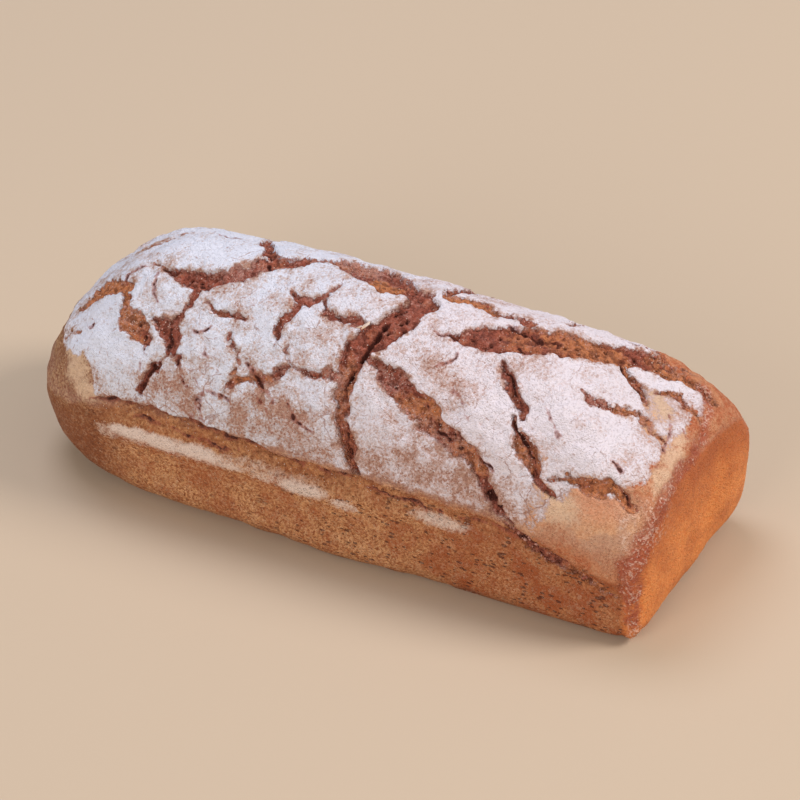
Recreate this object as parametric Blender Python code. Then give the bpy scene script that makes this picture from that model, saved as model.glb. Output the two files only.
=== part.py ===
"""Rye bread loaf, baked in a tin: flat base, nearly straight moulded walls, a high domed
crust above the tin's rim, and the wide tears that opened across the dome in the oven.

+X runs along the loaf, -Y is its front side, +Z is up. The origin is at the middle of the
base's bounding box. Lengths are in millimetres until the last step.
"""
import math

import bmesh
import bpy
from mathutils import Vector, noise

MM = 0.001

# Driving dimensions of the moulded part
HALF_LENGTH = 150.0
BASE_HALF_WIDTH = 52.5
RIM_HALF_WIDTH = 54.5
RIM_HEIGHT = 49.0
LEFT_FLARE = 13.5           # how much longer the left end is at the rim than at the base
BASE_TRIM = 1.03            # the wall's curve runs this far past the base plane, which cuts it flat

# Driving dimensions of the dome
TOP_HEIGHT = 108.0
TOP_SAG = 11.0              # the dome is this much lower towards its ends
DOME_POWER = 1.77           # 2 is a half ellipse
RIGHT_FALL = 86.0           # length over which the dome falls to the end wall
LEFT_FALL = 70.0

# The rim rises or drops towards the ends, and droops where the dough did not fill a corner
RIGHT_RIM_RISE = 15.0
LEFT_RIM_RISE = -12.0
NEAR_RIGHT_DROOP = 0.41
FAR_RIGHT_DROOP = 0.15
LEFT_DROOP = 0.22
DROOP_START = 60.0
RIGHT_SKEW = 0.06           # the right end wall is turned by this slope

# Roundness of the edges: a higher power is a tighter edge
RIGHT_CORNER_POWER = 12.0
LEFT_CORNER_POWER = 2.9
RIGHT_BASE_POWER = 11.0
LEFT_BASE_POWER = 6.0

# Mesh density
LENGTH_CELLS = 72
WIDTH_CELLS = 26
HEIGHT_CELLS = 12
WALL_SHARE = 1.0 / 3.0      # share of the height cells that lie below the rim

# Design coordinates on the crust: "along" the loaf, and "girth" around it from the ridge,
# negative to the front. Past HALF_LENGTH, "along" runs down the end.
HALF_TOP = 40.0             # girth from the ridge to where the top turns to the side
END_DROP = 60.0             # along, from the top's end down to the rim

# Each tear: half its width, its depth, and its route in design coordinates
TEARS = (
    (6.0, 3.2, ((-96, -12), (-78, -17), (-60, -11), (-46, -1), (-20, 7), (5, 10), (22, 4))),
    (7.5, 3.0, ((22, 4), (45, 2), (70, 3), (95, 7), (125, 17), (150, 26))),
    (5.5, 5.0, ((22, 4), (14, -12), (9, -24), (7, -38), (5, -46), (7, -58), (11, -70), (19, -79))),
    (3.5, 2.6, ((-78, -17), (-77, -31), (-81, -45), (-77, -53), (-71, -65))),
    (3.0, 2.2, ((-91, -36), (-81, -45), (-86, -62), (-91, -76))),
    (5.0, 2.4, ((-148, -28), (-126, -22), (-120, -33), (-104, -46))),
    (3.0, 2.0, ((-22, -13), (-28, -27), (-31, -38))),
    (3.2, 2.2, ((-50, -38), (-46, -52), (-36, -57), (-24, -50), (-14, -53), (4, -50))),
    (5.5, 3.2, ((20, -31), (35, -40), (46, -52), (62, -60), (74, -66), (79, -74), (92, -80))),
    (4.0, 3.0, ((65, -16), (74, -26), (88, -38), (98, -50), (104, -58), (113, -66))),
    (3.2, 2.6, ((126, 14), (136, 4), (154, -3), (164, -8), (178, -9))),
    (4.5, 2.0, ((112, -60), (128, -58), (142, -57))),
    (4.5, 2.8, ((-60, 10), (-65, 26), (-58, 42), (-63, 57), (-59, 70))),
    (5.0, 3.2, ((30, 14), (38, 32), (33, 48), (42, 62), (40, 76))),
    (3.5, 2.4, ((-58, 42), (-34, 38), (-10, 44), (12, 39), (36, 42))),
    (4.2, 2.6, ((84, 22), (90, 38), (104, 50), (109, 66))),
    (4.0, 2.4, ((-132, 6), (-114, 24), (-104, 42), (-110, 60))),
    (3.2, 2.0, ((-63, 57), (-84, 61), (-107, 57))),
)
TEAR_TAPER = 14.0           # length over which a tear closes at its ends
ROUTE_STEP = 2.0
GRID_SLACK = 1e-4

# The seam at the rim, and the gentle unevenness of the crust
SEAM_HALF_HEIGHT = 5.0
SEAM_DEPTH = 1.2
SWELL_HEIGHT = 0.7
SWELL_SIZE = 34.0

CRUST_COLOUR = (0.38, 0.15, 0.055, 1.0)
CRUST_ROUGHNESS = 0.8


def clear_scene():
    for obj in list(bpy.data.objects):
        bpy.data.objects.remove(obj, do_unlink=True)


def smooth_step(value):
    t = min(max(value, 0.0), 1.0)
    return t * t * (3.0 - 2.0 * t)


def between(left, right, side):
    return left + (right - left) * side


def loaf_surface(s, v, w):
    """Point on the loaf for a point (s, v, w) on the box that spans -1 to 1 each way.

    w = 0 is the tin's rim. Above it the section is a superellipse dome, below it a wall
    with a rounded lower edge. The two ends' values blend into each other in the middle.
    """
    side = smooth_step(0.5 + s)
    fall = between(LEFT_FALL, RIGHT_FALL, side)
    corner = between(LEFT_CORNER_POWER, RIGHT_CORNER_POWER, side)
    power = DOME_POWER if w >= 0.0 else between(LEFT_BASE_POWER, RIGHT_BASE_POWER, side)
    reach = abs(s) * HALF_LENGTH
    core = min(reach, HALF_LENGTH - fall)
    end = (reach - core) / fall
    plan = (end ** corner + abs(v) ** corner) ** (power / corner)
    gauge = (plan + abs(w) ** power) ** (1.0 / power)
    qx, qv, qw = end / gauge, v / gauge, w / gauge

    rise = 1.0 if w >= 0.0 else min(max(1.0 + qw * BASE_TRIM, 0.0), 1.0)
    endness = smooth_step(reach / HALF_LENGTH) ** 2
    x = core + fall * qx
    x -= (1.0 - side) * LEFT_FLARE * (1.0 - rise) ** 2 * smooth_step(x / HALF_LENGTH) ** 2
    y = qv * between(BASE_HALF_WIDTH, RIM_HALF_WIDTH, rise)

    edge = abs(qv) ** 4
    corner_zone = smooth_step((reach - DROOP_START) / (HALF_LENGTH - DROOP_START)) ** 2
    right_droop = NEAR_RIGHT_DROOP if v < 0.0 else FAR_RIGHT_DROOP
    droop = between(LEFT_DROOP, right_droop, side) * corner_zone * edge
    rim_rise = between(LEFT_RIM_RISE, RIGHT_RIM_RISE, side) * endness * (1.0 - edge)
    rim = (RIM_HEIGHT + rim_rise) * (1.0 - droop)
    top = TOP_HEIGHT - TOP_SAG * s * s
    z = rim + qw * (top - rim) if w >= 0.0 else rim * rise
    skew = side * RIGHT_SKEW * y * endness * rise
    return Vector((math.copysign(x, s) + skew, y, z))


def crust_point(along, girth):
    """Point on the dome at design coordinates in millimetres."""
    s = min(max(along / HALF_LENGTH, -1.0), 1.0)
    v = min(max(girth / HALF_TOP, -1.0), 1.0)
    over_end = max(abs(along) - HALF_LENGTH, 0.0) / END_DROP
    over_side = max(abs(girth) / HALF_TOP - 1.0, 0.0)
    return loaf_surface(s, v, 1.0 - max(over_end, over_side))


def tear_samples(route):
    """Points along a tear, each with how far the tear is open there, from 0 to 1."""
    points = []
    for (a0, g0), (a1, g1) in zip(route, route[1:]):
        steps = max(2, round(math.hypot(a1 - a0, g1 - g0) / ROUTE_STEP))
        for i in range(steps):
            t = i / steps
            points.append(crust_point(a0 + (a1 - a0) * t, g0 + (g1 - g0) * t))
    points.append(crust_point(*route[-1]))
    lengths = [0.0]
    for before, after in zip(points, points[1:]):
        lengths.append(lengths[-1] + (after - before).length)
    total = lengths[-1]
    return [(point, smooth_step(0.35 + min(run, total - run) / TEAR_TAPER))
            for point, run in zip(points, lengths)]


def tear_depth(position, tears):
    """How deep the crust has sunk at a position, through the deepest tear that reaches it."""
    deepest = 0.0
    for half_width, depth, samples in tears:
        for point, openness in samples:
            gap = (position - point).length
            if gap < half_width * 1.6:
                inside = smooth_step(1.3 - gap / (half_width * openness + 0.01))
                deepest = max(deepest, depth * openness * inside)
    return deepest


def cut_grid(mesh):
    """Cut the unit box into a grid, more finely along its length."""
    for axis, cells in enumerate((LENGTH_CELLS, WIDTH_CELLS, HEIGHT_CELLS)):
        edges = []
        for edge in mesh.edges:
            span = edge.verts[0].co - edge.verts[1].co
            if abs(span[axis]) > 0.5 * span.length:
                edges.append(edge)
        bmesh.ops.subdivide_edges(mesh, edges=edges, cuts=cells - 1, use_grid_fill=True)


def box_height(level):
    """Height on the box for a grid level from -1 to 1, with WALL_SHARE of the levels below 0."""
    share = 0.5 * (level + 1.0)
    if share < WALL_SHARE + GRID_SLACK:
        return min(share / WALL_SHARE - 1.0, 0.0)
    return (share - WALL_SHARE) / (1.0 - WALL_SHARE)


def shape_loaf(mesh):
    """Move the box's grid onto the loaf."""
    for vert in mesh.verts:
        s, v, level = vert.co
        vert.co = loaf_surface(s, v, box_height(level))
    mesh.normal_update()


def add_relief(mesh):
    """Sink the tears and the rim's seam, and let the crust swell and dip a little."""
    tears = [(half, depth, tear_samples(route)) for half, depth, route in TEARS]
    moves = []
    for vert in mesh.verts:
        x, y, z = vert.co
        if z <= 0.0:
            moves.append(Vector())
            continue
        lift = smooth_step(z / RIM_HEIGHT)
        depth = tear_depth(vert.co, tears)
        seam = SEAM_DEPTH * smooth_step(1.0 - abs(z - RIM_HEIGHT) / SEAM_HALF_HEIGHT)
        swell = SWELL_HEIGHT * lift * noise.noise(vert.co / SWELL_SIZE)
        moves.append(vert.normal * (swell - depth - seam * (1.0 - smooth_step(x / HALF_LENGTH))))
    for vert, move in zip(mesh.verts, moves):
        vert.co += move


def flatten_base(mesh):
    """Make the base one flat face with a fan of triangles around its middle."""
    base = [face for face in mesh.faces if all(vert.co.z <= 0.0 for vert in face.verts)]
    rest = bmesh.ops.dissolve_faces(mesh, faces=base, use_verts=True)["region"]
    bmesh.ops.poke(mesh, faces=rest)


def centre_and_scale(mesh):
    """Put the origin under the middle of the bounding box, and turn millimetres to metres."""
    for axis in (0, 1):
        values = [vert.co[axis] for vert in mesh.verts]
        middle = 0.5 * (min(values) + max(values))
        for vert in mesh.verts:
            vert.co[axis] -= middle
    bmesh.ops.scale(mesh, vec=(MM, MM, MM), verts=mesh.verts)


def crust_material():
    material = bpy.data.materials.new("browned rye crust")
    material.use_nodes = True
    shader = material.node_tree.nodes["Principled BSDF"]
    shader.inputs["Base Color"].default_value = CRUST_COLOUR
    shader.inputs["Roughness"].default_value = CRUST_ROUGHNESS
    shader.inputs["Metallic"].default_value = 0.0
    return material


def make_loaf(collection):
    grid = bmesh.new()
    bmesh.ops.create_cube(grid, size=2.0)
    cut_grid(grid)
    shape_loaf(grid)
    add_relief(grid)
    flatten_base(grid)
    centre_and_scale(grid)
    bmesh.ops.triangulate(grid, faces=grid.faces)
    bmesh.ops.recalc_face_normals(grid, faces=grid.faces)
    mesh = bpy.data.meshes.new("loaf")
    grid.to_mesh(mesh)
    grid.free()
    mesh.shade_smooth()
    mesh.materials.append(crust_material())
    collection.objects.link(bpy.data.objects.new("loaf", mesh))


def main():
    clear_scene()
    collection = bpy.data.collections.new("rye bread loaf")
    bpy.context.scene.collection.children.link(collection)
    make_loaf(collection)


main()
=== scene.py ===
"""Rye bread loaf: tin-baked, with a domed, floured and torn crust, on a pale studio floor.

Laid out as an add-on: property groups hold what a user would change, one operator makes
each piece and one makes the stage, and a panel lists them. The loaf's own shape is worked
out in millimetres in the frame's axes: +X along the loaf, -Y its front, +Z up.
"""
import math
import random

import bmesh
import bpy
import numpy as np
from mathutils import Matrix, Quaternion, Vector, noise


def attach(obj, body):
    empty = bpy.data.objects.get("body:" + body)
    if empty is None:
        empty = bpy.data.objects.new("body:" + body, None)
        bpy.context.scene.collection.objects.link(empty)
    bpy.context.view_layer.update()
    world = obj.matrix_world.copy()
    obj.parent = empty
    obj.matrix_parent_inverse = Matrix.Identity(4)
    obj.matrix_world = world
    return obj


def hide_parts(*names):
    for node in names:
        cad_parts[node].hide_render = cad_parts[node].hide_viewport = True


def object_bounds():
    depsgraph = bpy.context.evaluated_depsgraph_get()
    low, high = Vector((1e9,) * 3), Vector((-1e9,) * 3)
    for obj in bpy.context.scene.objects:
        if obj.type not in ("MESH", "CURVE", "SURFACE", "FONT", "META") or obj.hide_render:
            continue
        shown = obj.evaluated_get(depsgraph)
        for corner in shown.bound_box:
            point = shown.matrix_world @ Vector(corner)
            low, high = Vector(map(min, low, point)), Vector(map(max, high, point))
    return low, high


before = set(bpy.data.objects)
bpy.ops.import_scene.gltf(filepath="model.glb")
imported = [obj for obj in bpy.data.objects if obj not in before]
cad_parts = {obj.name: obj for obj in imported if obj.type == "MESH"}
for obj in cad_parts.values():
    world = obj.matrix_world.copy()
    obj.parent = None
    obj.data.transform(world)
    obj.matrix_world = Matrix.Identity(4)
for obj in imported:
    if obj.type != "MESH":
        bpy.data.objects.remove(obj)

CAD_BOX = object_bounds()

bl_info = {
    "name": "Rye bread loaf",
    "version": (1, 0, 0),
    "blender": (4, 5, 0),
    "location": "View3D > Sidebar > Loaf",
    "description": "Builds a floured, torn rye loaf and its studio stage",
    "category": "Object",
}

MM = 0.001
EDGE = 1e-4                 # slack when telling which face of the box a point is on
BODY = "root"

# Fixed traits of the loaf's form; the driving sizes are in LoafSizes below
BASE_TRIM = 1.03            # the wall's curve runs this far past the base plane
DROOP_START = 60.0          # where along the loaf its corners begin to droop
RIGHT_SKEW = 0.06           # slope of the right end wall across the loaf
RIGHT_CORNER_POWER = 12.0   # a higher power is a tighter corner
LEFT_CORNER_POWER = 2.9
RIGHT_BASE_POWER = 11.0
LEFT_BASE_POWER = 6.0

# Design coordinates on the crust, in millimetres: "along" the loaf, and "girth" round it
# from the ridge, negative to the front. The rim is at girth 80 either way, and past it
# girth runs on down the wall to 120. Past 150, "along" runs down the end to the rim at 210.
HALF_TOP = 40.0
END_DROP = 60.0

# The grid on the box, before the crust's finer cuts
LENGTH_CELLS = 112
WIDTH_CELLS = 32
HEIGHT_CELLS = 36

# Torn bands, where brown crumb shows between the floured plates:
# depth, then the route as (along, girth, half width)
TORN_BANDS = (
    # along the ridge, from the left end to the middle
    (3.0, ((-98, -12, 0.8), (-89, -14, 1.8), (-79, -16, 4.0), (-69, -15, 4.6), (-60, -12, 4.2),
           (-53, -7, 4.2), (-46, -2, 4.2), (-37, 1, 3.4), (-28, 7, 2.4), (-20, 8, 4.6),
           (-12, 9, 7.5), (-3, 7, 10.0), (5, 5, 9.0), (12, 3, 7.0), (20, 1, 5.4),
           (29, -3, 2.4))),
    # from the ridge band up over the back
    (2.8, ((-48, 0, 3.4), (-54, 4, 2.8), (-58, 11, 3.0), (-62, 26, 3.4), (-58, 42, 3.4),
           (-62, 57, 3.0), (-59, 71, 1.6))),
    # the left group
    (2.2, ((-73, -17, 3.0), (-72, -23, 2.2), (-74, -29, 1.9), (-76, -34, 1.9), (-79, -40, 2.4))),
    (2.4, ((-93, -36, 1.4), (-88, -38, 2.4), (-82, -42, 3.6), (-77, -47, 4.0), (-74, -52, 2.6),
           (-73, -57, 1.2))),
    (2.4, ((-76, -49, 1.8), (-77, -56, 1.5), (-78, -61, 1.3), (-83, -65, 2.0), (-85, -70, 1.8),
           (-86, -76, 1.1))),
    (1.6, ((-72, -52, 1.2), (-69, -57, 1.4), (-67, -62, 1.2), (-65, -66, 0.7))),
    # brown patches on the left end
    (1.8, ((-166, -22, 1.5), (-158, -21, 4.4), (-150, -20, 6.0), (-140, -20, 5.8),
           (-130, -20, 5.0), (-120, -21, 4.4), (-113, -22, 3.4))),
    (2.0, ((-115, -22, 3.0), (-112, -29, 2.4), (-112, -36, 3.6), (-106, -41, 5.4),
           (-99, -45, 5.4), (-92, -49, 3.2), (-89, -53, 1.4))),
    (1.2, ((-181, -30, 0.8), (-172, -35, 1.1), (-160, -43, 0.8))),
    # between the left group and the middle
    (2.0, ((-65, -25, 0.8), (-62, -28, 1.2), (-57, -29, 1.8), (-51, -29, 1.7), (-46, -28, 0.7))),
    (1.8, ((-52, -37, 0.7), (-50, -42, 1.0), (-47, -46, 1.3), (-45, -51, 1.5), (-44, -57, 1.2))),
    (1.8, ((-48, -65, 1.0), (-43, -62, 1.9), (-38, -58, 2.0), (-32, -57, 2.1), (-27, -56, 2.3),
           (-23, -51, 2.2), (-20, -47, 1.6))),
    (1.4, ((-31, -58, 1.0), (-29, -62, 0.9), (-28, -66, 0.5))),
    (1.8, ((-23, -36, 0.8), (-21, -42, 0.9), (-18, -47, 1.4), (-13, -49, 1.8), (-7, -47, 2.1),
           (0, -46, 2.4), (5, -46, 2.6))),
    (2.2, ((-34, -10, 0.7), (-30, -13, 1.3), (-27, -16, 2.2), (-28, -21, 2.5), (-30, -27, 2.6),
           (-30, -33, 1.9), (-29, -40, 0.6))),
    (1.8, ((-27, -14, 1.6), (-21, -14, 1.8), (-16, -11, 1.3), (-13, -6, 1.1), (-11, 2, 0.8))),
    (2.2, ((-15, -13, 1.0), (-12, -17, 1.6), (-6, -18, 2.0), (1, -17, 2.4), (9, -17, 3.0))),
    # the great tear that crosses the middle from the ridge to the front rim
    (3.6, ((24, -2, 5.6), (21, -9, 6.8), (16, -16, 6.4), (10, -23, 6.6), (7, -31, 6.4),
           (6, -41, 5.6), (5, -51, 4.6), (6, -58, 3.8), (9, -65, 3.4), (13, -71, 3.0),
           (18, -78, 2.4))),
    # the torn groove under the bare corner
    (1.8, ((88, -82, 1.0), (100, -85, 2.2), (111, -86, 3.0), (122, -86, 3.0), (132, -88, 2.2),
           (141, -91, 1.0))),
    # the slanting tear below it to the right
    (2.2, ((14, -33, 1.8), (20, -36, 3.6), (28, -40, 5.0), (35, -45, 6.0), (43, -51, 6.4),
           (51, -56, 5.8), (60, -60, 5.0), (69, -63, 4.2), (75, -67, 2.9), (79, -72, 2.4),
           (84, -76, 2.0), (91, -80, 1.0))),
    # the two steep tears on the right half
    (2.4, ((68, -14, 0.6), (71, -18, 1.8), (75, -22, 2.4), (81, -26, 2.6), (88, -31, 2.6),
           (94, -35, 2.0), (99, -38, 0.9))),
    (2.4, ((92, -41, 1.3), (95, -47, 2.4), (98, -52, 3.6), (102, -57, 3.4), (105, -62, 2.4),
           (111, -66, 1.8))),
    # the broad orange band below the ridge, running on to the far edge of the right end
    (2.6, ((43, -12, 1.0), (50, -10, 4.4), (58, -8, 6.8), (67, -6, 8.0), (76, -3, 8.2),
           (85, 1, 8.0), (95, 6, 7.4), (105, 11, 6.8), (114, 16, 6.4), (124, 21, 5.8),
           (134, 25, 5.0), (146, 28, 4.0), (160, 28, 3.2), (176, 25, 3.4), (190, 24, 2.0))),
    (1.6, ((30, 6, 2.8), (38, 6, 3.4), (46, 6, 3.2), (54, 5, 2.2), (62, 5, 2.0), (70, 4, 3.0))),
    (0.9, ((-122, 0, 0.6), (-108, 4, 1.0), (-94, 7, 0.7))),
    # the right end
    (2.4, ((118, 14, 2.6), (127, 10, 3.3), (137, 8, 3.5), (147, 5, 2.6), (156, 0, 1.4))),
    (1.6, ((156, -5, 1.8), (163, -8, 2.4), (171, -8, 2.4), (180, -8, 1.5))),
    (1.6, ((113, -13, 0.9), (120, -16, 2.2), (128, -15, 2.3), (136, -14, 2.3), (146, -12, 2.6),
           (153, -8, 2.2))),
    (1.4, ((152, 9, 0.8), (163, 13, 1.4), (173, 14, 1.8), (182, 11, 1.4), (191, 11, 0.8))),
    (1.6, ((113, -60, 1.0), (121, -58, 2.4), (130, -58, 3.2), (139, -58, 3.4), (148, -56, 3.4))),
    (1.6, ((174, -40, 3.2), (179, -38, 3.4), (185, -36, 2.8), (190, -34, 1.4))),
    # the back of the dome
    (3.0, ((30, 10, 3.4), (37, 24, 3.8), (34, 38, 4.2), (40, 54, 3.8), (44, 66, 3.0),
           (40, 78, 1.8))),
    (2.2, ((-58, 43, 2.0), (-46, 39, 2.4), (-34, 39, 2.6), (-22, 43, 2.4), (-9, 44, 2.8),
           (12, 39, 2.6), (34, 41, 2.0))),
    (2.6, ((84, 16, 2.4), (88, 30, 3.4), (97, 43, 3.6), (105, 54, 3.2), (108, 68, 1.8))),
    (2.2, ((-132, 6, 1.6), (-120, 17, 2.8), (-108, 32, 3.4), (-104, 44, 2.8), (-110, 60, 1.6))),
    (1.8, ((-62, 57, 1.8), (-76, 61, 2.4), (-90, 60, 2.0), (-106, 56, 1.2))),
    (1.6, ((40, 55, 1.8), (58, 58, 2.2), (76, 54, 2.0), (97, 45, 1.6))),
    (1.4, ((-9, 45, 1.6), (-6, 56, 2.0), (-12, 66, 1.4), (-9, 74, 0.8))),
    (1.4, ((112, 30, 1.6), (128, 34, 2.2), (146, 33, 1.6), (168, 34, 1.2))),
)

# Fine cracks and the dark fissures inside the torn bands: depth, then the route
FISSURES = (
    (3.2, ((20, -3, 0.7), (15, -12, 1.1), (12, -20, 1.5), (11, -27, 1.7), (10, -34, 1.5),
           (7, -43, 1.1), (5, -49, 0.8), (6, -57, 1.0), (9, -64, 0.8), (12, -71, 1.1),
           (17, -76, 0.8), (20, -80, 0.5))),
    (1.8, ((43, -46, 0.6), (47, -52, 1.0), (51, -57, 1.0), (57, -60, 0.8))),
    (1.8, ((72, -62, 0.6), (76, -64, 1.1), (81, -66, 0.8))),
    (2.6, ((77, -73, 0.9), (81, -74, 1.9), (85, -75, 1.1), (91, -79, 0.6))),
    (1.6, ((71, -17, 0.5), (79, -24, 0.8), (87, -30, 0.8), (95, -34, 0.4))),
    (1.6, ((93, -43, 0.9), (96, -50, 0.8), (101, -55, 0.6), (105, -61, 0.6))),
    (1.4, ((33, -10, 0.4), (38, -12, 0.6), (45, -12, 0.9))),
    (2.0, ((62, 0, 0.6), (70, 0, 1.1), (78, 1, 1.0), (84, 3, 1.0), (85, -1, 0.8))),
    (2.4, ((119, 13, 0.9), (128, 9, 1.3), (138, 6, 1.1), (148, 3, 0.8), (155, -1, 0.5))),
    (1.2, ((70, -8, 0.8), (75, -10, 1.2), (78, -13, 0.4))),
    (1.4, ((175, -37, 0.4), (181, -36, 0.9), (186, -35, 0.5))),
    (0.9, ((164, -36, 0.5), (170, -33, 0.6), (176, -30, 0.4), (182, -27, 0.3))),
    (0.9, ((186, 1, 0.4), (194, -1, 0.5), (203, -1, 0.4))),
    (1.0, ((-92, -48, 0.5), (-90, -54, 0.5), (-90, -60, 0.4), (-89, -64, 0.3))),
    (1.6, ((-80, -43, 0.7), (-78, -48, 1.0), (-77, -56, 0.8), (-78, -61, 0.7),
           (-83, -65, 1.0), (-85, -70, 0.9), (-86, -76, 0.6))),
    (1.1, ((-115, -20, 0.9), (-113, -16, 0.7), (-107, -13, 0.6), (-99, -12, 0.6))),
    (1.1, ((-96, -16, 0.6), (-96, -21, 0.8), (-94, -25, 0.6), (-91, -29, 0.3))),
    (0.9, ((-151, -44, 0.5), (-140, -45, 0.6), (-130, -47, 0.4))),
    (1.2, ((-67, -41, 0.5), (-63, -41, 0.8), (-61, -38, 0.9), (-60, -33, 0.6), (-61, -29, 0.6))),
    (1.2, ((-40, -51, 0.5), (-36, -54, 0.9), (-32, -57, 0.8))),
    (1.0, ((-19, -60, 0.4), (-15, -64, 0.8), (-9, -68, 0.7), (-3, -70, 0.4))),
    (1.2, ((-54, -65, 0.5), (-57, -68, 0.8), (-59, -71, 0.9), (-60, -77, 0.5))),
    (0.9, ((48, -15, 0.5), (49, -19, 0.6), (46, -22, 0.5), (42, -25, 0.3))),
    (0.8, ((72, -49, 0.3), (77, -51, 0.5), (78, -54, 0.3))),
    (0.9, ((-85, 10, 0.4), (-78, 9, 0.7), (-69, 8, 0.4))),
    (1.6, ((-72, -17, 0.8), (-66, -15, 1.0), (-62, -12, 0.6))),
    (1.6, ((-56, 6, 0.7), (-52, 1, 1.0), (-47, -4, 0.8))),
    # torn layers along the dome's front edge
    (2.4, ((-112, -78, 0.4), (-100, -78, 0.8), (-88, -78, 0.6), (-74, -79, 1.0), (-60, -79, 0.7),
           (-46, -81, 0.9), (-30, -82, 0.6), (-14, -83, 0.8), (4, -84, 0.7), (16, -84, 0.4))),
    (1.6, ((-90, -83, 0.4), (-78, -84, 0.8), (-66, -84, 0.5), (-54, -85, 0.8), (-40, -86, 0.4))),
    (1.4, ((24, -84, 0.4), (40, -85, 0.7), (58, -86, 0.5))),
    (1.2, ((66, -86, 0.3), (80, -84, 0.5), (96, -85, 0.5), (108, -86, 0.3))),
    # across the floured plates
    (0.9, ((-62, -44, 0.1), (-60, -50, 0.3), (-56, -54, 0.2))),
    (1.0, ((-56, -66, 0.5), (-50, -65, 0.7), (-43, -67, 0.4))),
    (1.0, ((-35, -54, 0.5), (-29, -60, 0.8), (-23, -64, 0.5))),
    (1.0, ((-70, -54, 0.5), (-68, -61, 0.8), (-65, -66, 0.5))),
    (0.9, ((-60, -62, 0.1), (-56, -67, 0.3), (-57, -73, 0.3), (-54, -77, 0.2))),
    (0.9, ((-30, -64, 0.1), (-25, -68, 0.3), (-22, -74, 0.2))),
    (0.9, ((52, -34, 0.1), (57, -38, 0.2), (60, -44, 0.3), (66, -49, 0.1))),
    (0.9, ((104, -28, 0.1), (110, -34, 0.3), (118, -37, 0.2), (124, -43, 0.1))),
    (1.0, ((174, 4, 0.3), (180, -3, 0.5), (184, -12, 0.5), (187, -20, 0.3))),
)


def linear(hex_colour):
    """Turn an sRGB hex colour into the linear values that the shaders read."""
    channels = [int(hex_colour[i:i + 2], 16) / 255.0 for i in (1, 3, 5)]
    return [c / 12.92 if c <= 0.04045 else ((c + 0.055) / 1.055) ** 2.4 for c in channels]


class LoafSizes(bpy.types.PropertyGroup):
    """Driving sizes of the loaf's own form."""

    half_length: bpy.props.FloatProperty(
        name="Half length", description="Half of the loaf's length along the rim",
        default=150.0 * MM, unit="LENGTH")
    base_half_width: bpy.props.FloatProperty(
        name="Base half width", description="Half of the loaf's width at its base",
        default=52.5 * MM, unit="LENGTH")
    rim_half_width: bpy.props.FloatProperty(
        name="Rim half width", description="Half of the loaf's width at the tin's rim",
        default=54.5 * MM, unit="LENGTH")
    rim_height: bpy.props.FloatProperty(
        name="Rim height", description="Height of the tin's rim, where the dome begins",
        default=49.0 * MM, unit="LENGTH")
    top_height: bpy.props.FloatProperty(
        name="Top height", description="Height of the dome at the middle of the loaf",
        default=108.0 * MM, unit="LENGTH")
    top_sag: bpy.props.FloatProperty(
        name="Top sag", description="How much lower the dome is towards the ends",
        default=11.0 * MM, unit="LENGTH")
    dome_power: bpy.props.FloatProperty(
        name="Dome power", description="Fullness of the dome's section; 2 is a half ellipse",
        default=1.77, min=1.0)
    left_fall: bpy.props.FloatProperty(
        name="Left fall", description="Length over which the dome falls to the left end",
        default=70.0 * MM, unit="LENGTH")
    right_fall: bpy.props.FloatProperty(
        name="Right fall", description="Length over which the dome falls to the right end",
        default=86.0 * MM, unit="LENGTH")
    left_flare: bpy.props.FloatProperty(
        name="Left flare", description="How much longer the left end is at the rim than below",
        default=13.5 * MM, unit="LENGTH")
    rim_rise: bpy.props.FloatVectorProperty(
        name="Rim rise", description="Rise of the rim at the middle of the left and right ends",
        size=2, default=(-12.0 * MM, 15.0 * MM), unit="LENGTH")
    corner_droop: bpy.props.FloatVectorProperty(
        name="Corner droop", description="Share by which the rim droops at the left corners, "
        "the near right corner and the far right corner", size=3, default=(0.22, 0.41, 0.15))


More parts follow.
